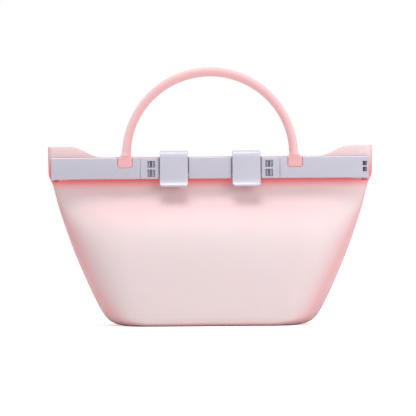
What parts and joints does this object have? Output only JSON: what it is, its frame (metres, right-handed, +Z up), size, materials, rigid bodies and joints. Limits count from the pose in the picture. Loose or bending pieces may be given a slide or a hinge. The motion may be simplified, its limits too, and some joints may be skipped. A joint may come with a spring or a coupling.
{
  "type": "reusable silicone bag",
  "caption": "Tapered soft silicone bag with a hinged plastic mouth frame, flip-over latch clips and arched carrying handles.",
  "frame": {"origin": "middle of the base, on the surface the bag stands on", "axes": "+Z up, +X along the mouth frame to the right, the front with the latch clips faces -Y"},
  "size_m": [0.3076, 0.0796, 0.2439],
  "materials": {
    "silicone": "translucent satin",
    "handle_silicone": "translucent satin",
    "frame_plastic": "satin",
    "clip_plastic": "satin",
    "pin_steel": "brushed"
  },
  "bodies": {
    "bag_body": {"bag": "silicone"},
    "front_centre": {"front_centre_bar": "frame_plastic", "front_left_hinge_pin": "pin_steel", "front_right_hinge_pin": "pin_steel", "left_latch_pin": "pin_steel", "right_latch_pin": "pin_steel"},
    "rear_centre": {"rear_centre_bar": "frame_plastic", "rear_left_hinge_pin": "pin_steel", "rear_right_hinge_pin": "pin_steel"},
    "front_left": {"front_left_arm": "frame_plastic", "front_left_handle_foot": "handle_silicone"},
    "front_right": {"front_right_arm": "frame_plastic", "front_right_handle_foot": "handle_silicone"},
    "rear_left": {"rear_left_arm": "frame_plastic", "left_end_pin": "frame_plastic", "rear_left_handle_foot": "handle_silicone"},
    "rear_right": {"rear_right_arm": "frame_plastic", "right_end_pin": "frame_plastic", "rear_right_handle_foot": "handle_silicone"},
    "left_latch": {"left_latch_clip": "clip_plastic"},
    "right_latch": {"right_latch_clip": "clip_plastic"},
    "front_handle_base": {"front_left_handle_neck": "handle_silicone", "front_right_handle_neck": "handle_silicone"},
    "front_handle": {"front_handle_strap": "handle_silicone"},
    "rear_handle_base": {"rear_left_handle_neck": "handle_silicone", "rear_right_handle_neck": "handle_silicone"},
    "rear_handle": {"rear_handle_strap": "handle_silicone"}
  },
  "joints": [
    {"name": "frame_open", "type": "slide", "parent": "bag_body", "child": "front_centre", "axis": [0, -1, 0], "range_m": [0, 0.033], "deforming": ["bag"]},
    {"name": "rear_open", "type": "slide", "parent": "bag_body", "child": "rear_centre", "axis": [0, 1, 0], "range_m": [0, 0.033]},
    {"name": "front_left_fold", "type": "hinge", "parent": "front_centre", "child": "front_left", "pos_m": [-0.0558, -0.00825, 0.1486], "axis": [0, 0, -1], "range_deg": [0, 22]},
    {"name": "front_right_fold", "type": "hinge", "parent": "front_centre", "child": "front_right", "pos_m": [0.0558, -0.00825, 0.1486], "axis": [0, 0, 1], "range_deg": [0, 22]},
    {"name": "rear_left_fold", "type": "hinge", "parent": "rear_centre", "child": "rear_left", "pos_m": [-0.0558, 0.00825, 0.1486], "axis": [0, 0, 1], "range_deg": [0, 22]},
    {"name": "rear_right_fold", "type": "hinge", "parent": "rear_centre", "child": "rear_right", "pos_m": [0.0558, 0.00825, 0.1486], "axis": [0, 0, -1], "range_deg": [0, 22]},
    {"name": "front_handle_shift", "type": "slide", "parent": "bag_body", "child": "front_handle_base", "axis": [0, -1, 0], "range_m": [0, 0.026]},
    {"name": "front_handle_swing", "type": "hinge", "parent": "front_handle_base", "child": "front_handle", "pos_m": [0, -0.00825, 0.168], "axis": [1, 0, 0], "range_deg": [-3, 75], "stiffness_Nm_per_rad": 0.03},
    {"name": "rear_handle_shift", "type": "slide", "parent": "bag_body", "child": "rear_handle_base", "axis": [0, 1, 0], "range_m": [0, 0.026]},
    {"name": "rear_handle_swing", "type": "hinge", "parent": "rear_handle_base", "child": "rear_handle", "pos_m": [0, 0.00825, 0.168], "axis": [-1, 0, 0], "range_deg": [-3, 75], "stiffness_Nm_per_rad": 0.03},
    {"name": "left_latch_swing", "type": "hinge", "parent": "front_centre", "child": "left_latch", "pos_m": [-0.0343, -0.0106, 0.142], "axis": [1, 0, 0], "range_deg": [0, 35]},
    {"name": "right_latch_swing", "type": "hinge", "parent": "front_centre", "child": "right_latch", "pos_m": [0.0343, -0.0106, 0.142], "axis": [1, 0, 0], "range_deg": [0, 35]}
  ],
  "couplings": [
    {"joint": "rear_open", "follows": "frame_open", "ratio": 1},
    {"joint": "front_left_fold", "follows": "frame_open", "rad_per_m": 11.44},
    {"joint": "front_right_fold", "follows": "frame_open", "rad_per_m": 11.44},
    {"joint": "rear_left_fold", "follows": "frame_open", "rad_per_m": 11.44},
    {"joint": "rear_right_fold", "follows": "frame_open", "rad_per_m": 11.44},
    {"joint": "front_handle_shift", "follows": "frame_open", "ratio": 0.728},
    {"joint": "rear_handle_shift", "follows": "frame_open", "ratio": 0.728}
  ]
}
